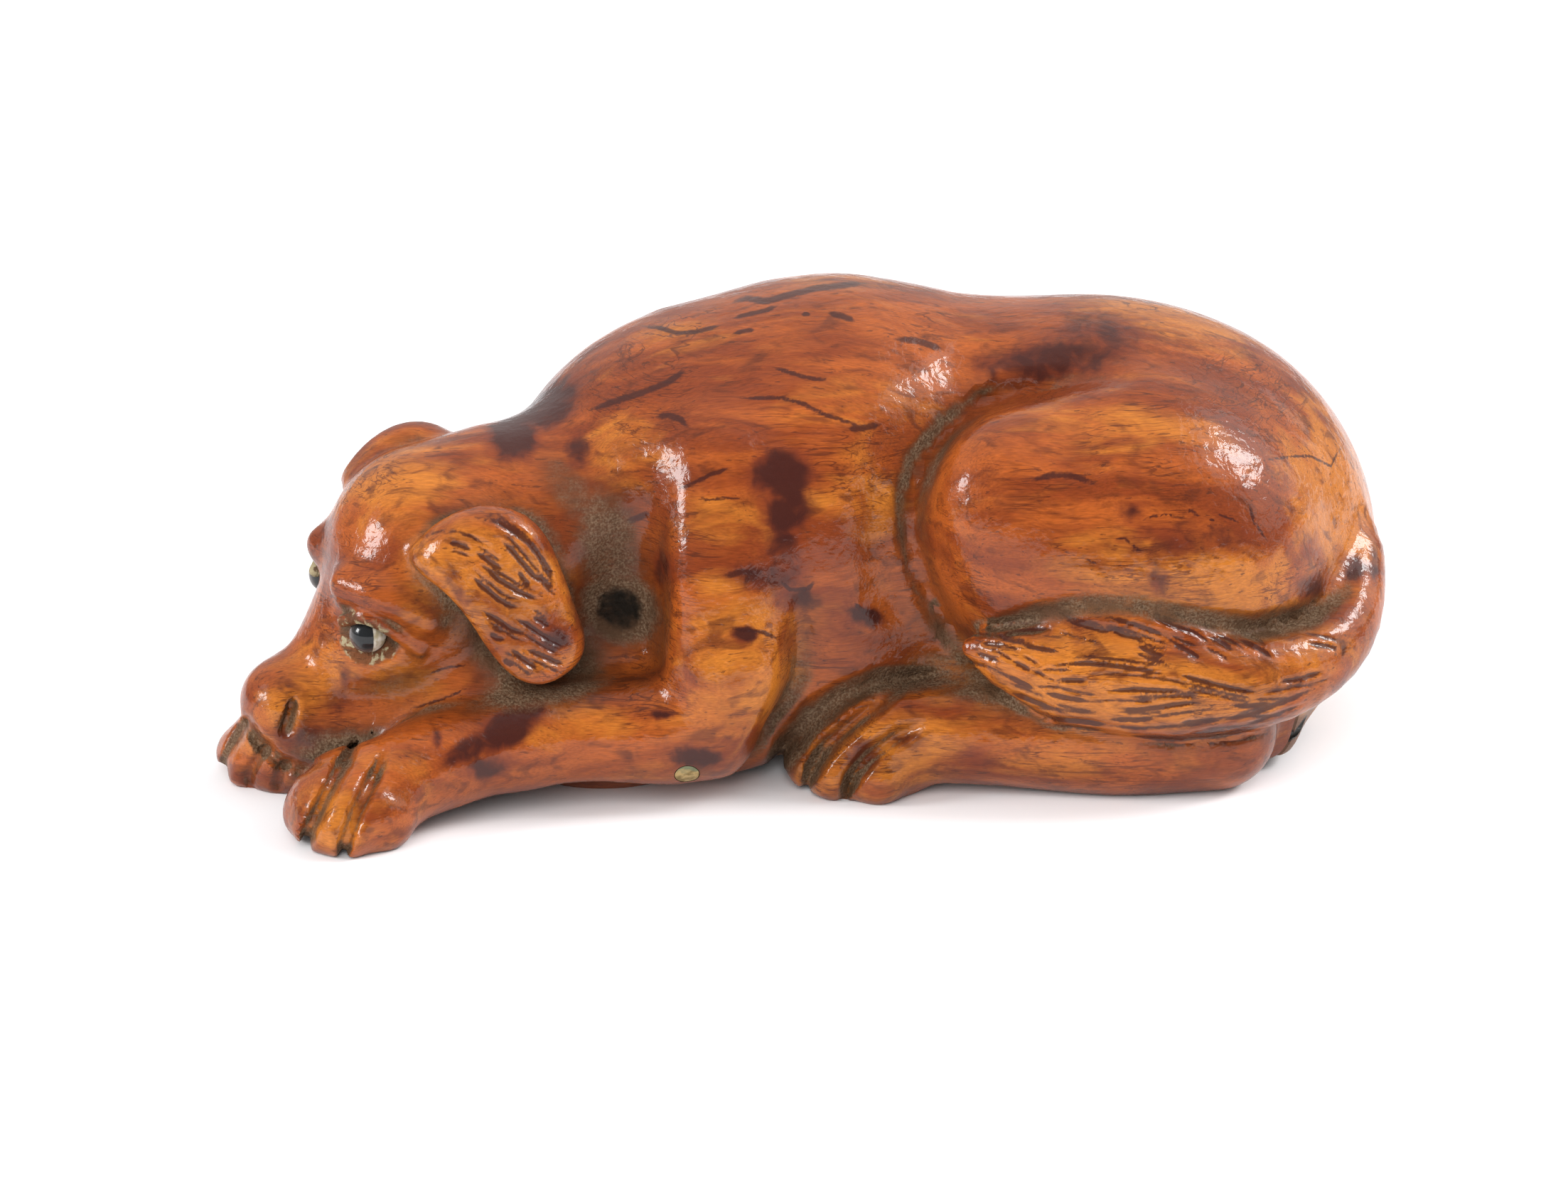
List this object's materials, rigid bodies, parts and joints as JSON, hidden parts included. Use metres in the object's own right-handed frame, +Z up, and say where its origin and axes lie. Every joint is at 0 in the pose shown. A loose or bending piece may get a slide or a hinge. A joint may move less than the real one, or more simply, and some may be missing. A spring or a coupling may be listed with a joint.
{
  "type": "carved animal snuff box",
  "caption": "Carved wooden snuff box in the form of a recumbent dog, hollow, with a flat hinged lid in its base and inset glass eyes.",
  "frame": {"origin": "middle of the object's outline on the surface it stands on", "axes": "+X along the body from the head to the rump, +Y towards the dog's right side, +Z up"},
  "size_m": [0.0888, 0.05, 0.0351],
  "materials": {
    "varnished_wood": "orange-brown boxwood or fruitwood, mottled dark red-brown, glossy old varnish",
    "lid_wood": "the same wood, duller and less varnished",
    "brass_pin": "dull, filed flush with the wood, green at the rim",
    "eye_glass": "opaque black glass bead with a white corner, glossy"
  },
  "bodies": {
    "box": {"dog_body": "varnished_wood", "hinge_pin": "brass_pin", "left_eye": "eye_glass", "right_eye": "eye_glass"},
    "lid": {"base_lid": "lid_wood"}
  },
  "joints": [
    {"name": "lid_hinge", "type": "hinge", "parent": "box", "child": "lid", "pos_m": [-0.00848, 0.005, 0.0032], "axis": [0, 1, 0], "range_deg": [0, 90]}
  ]
}
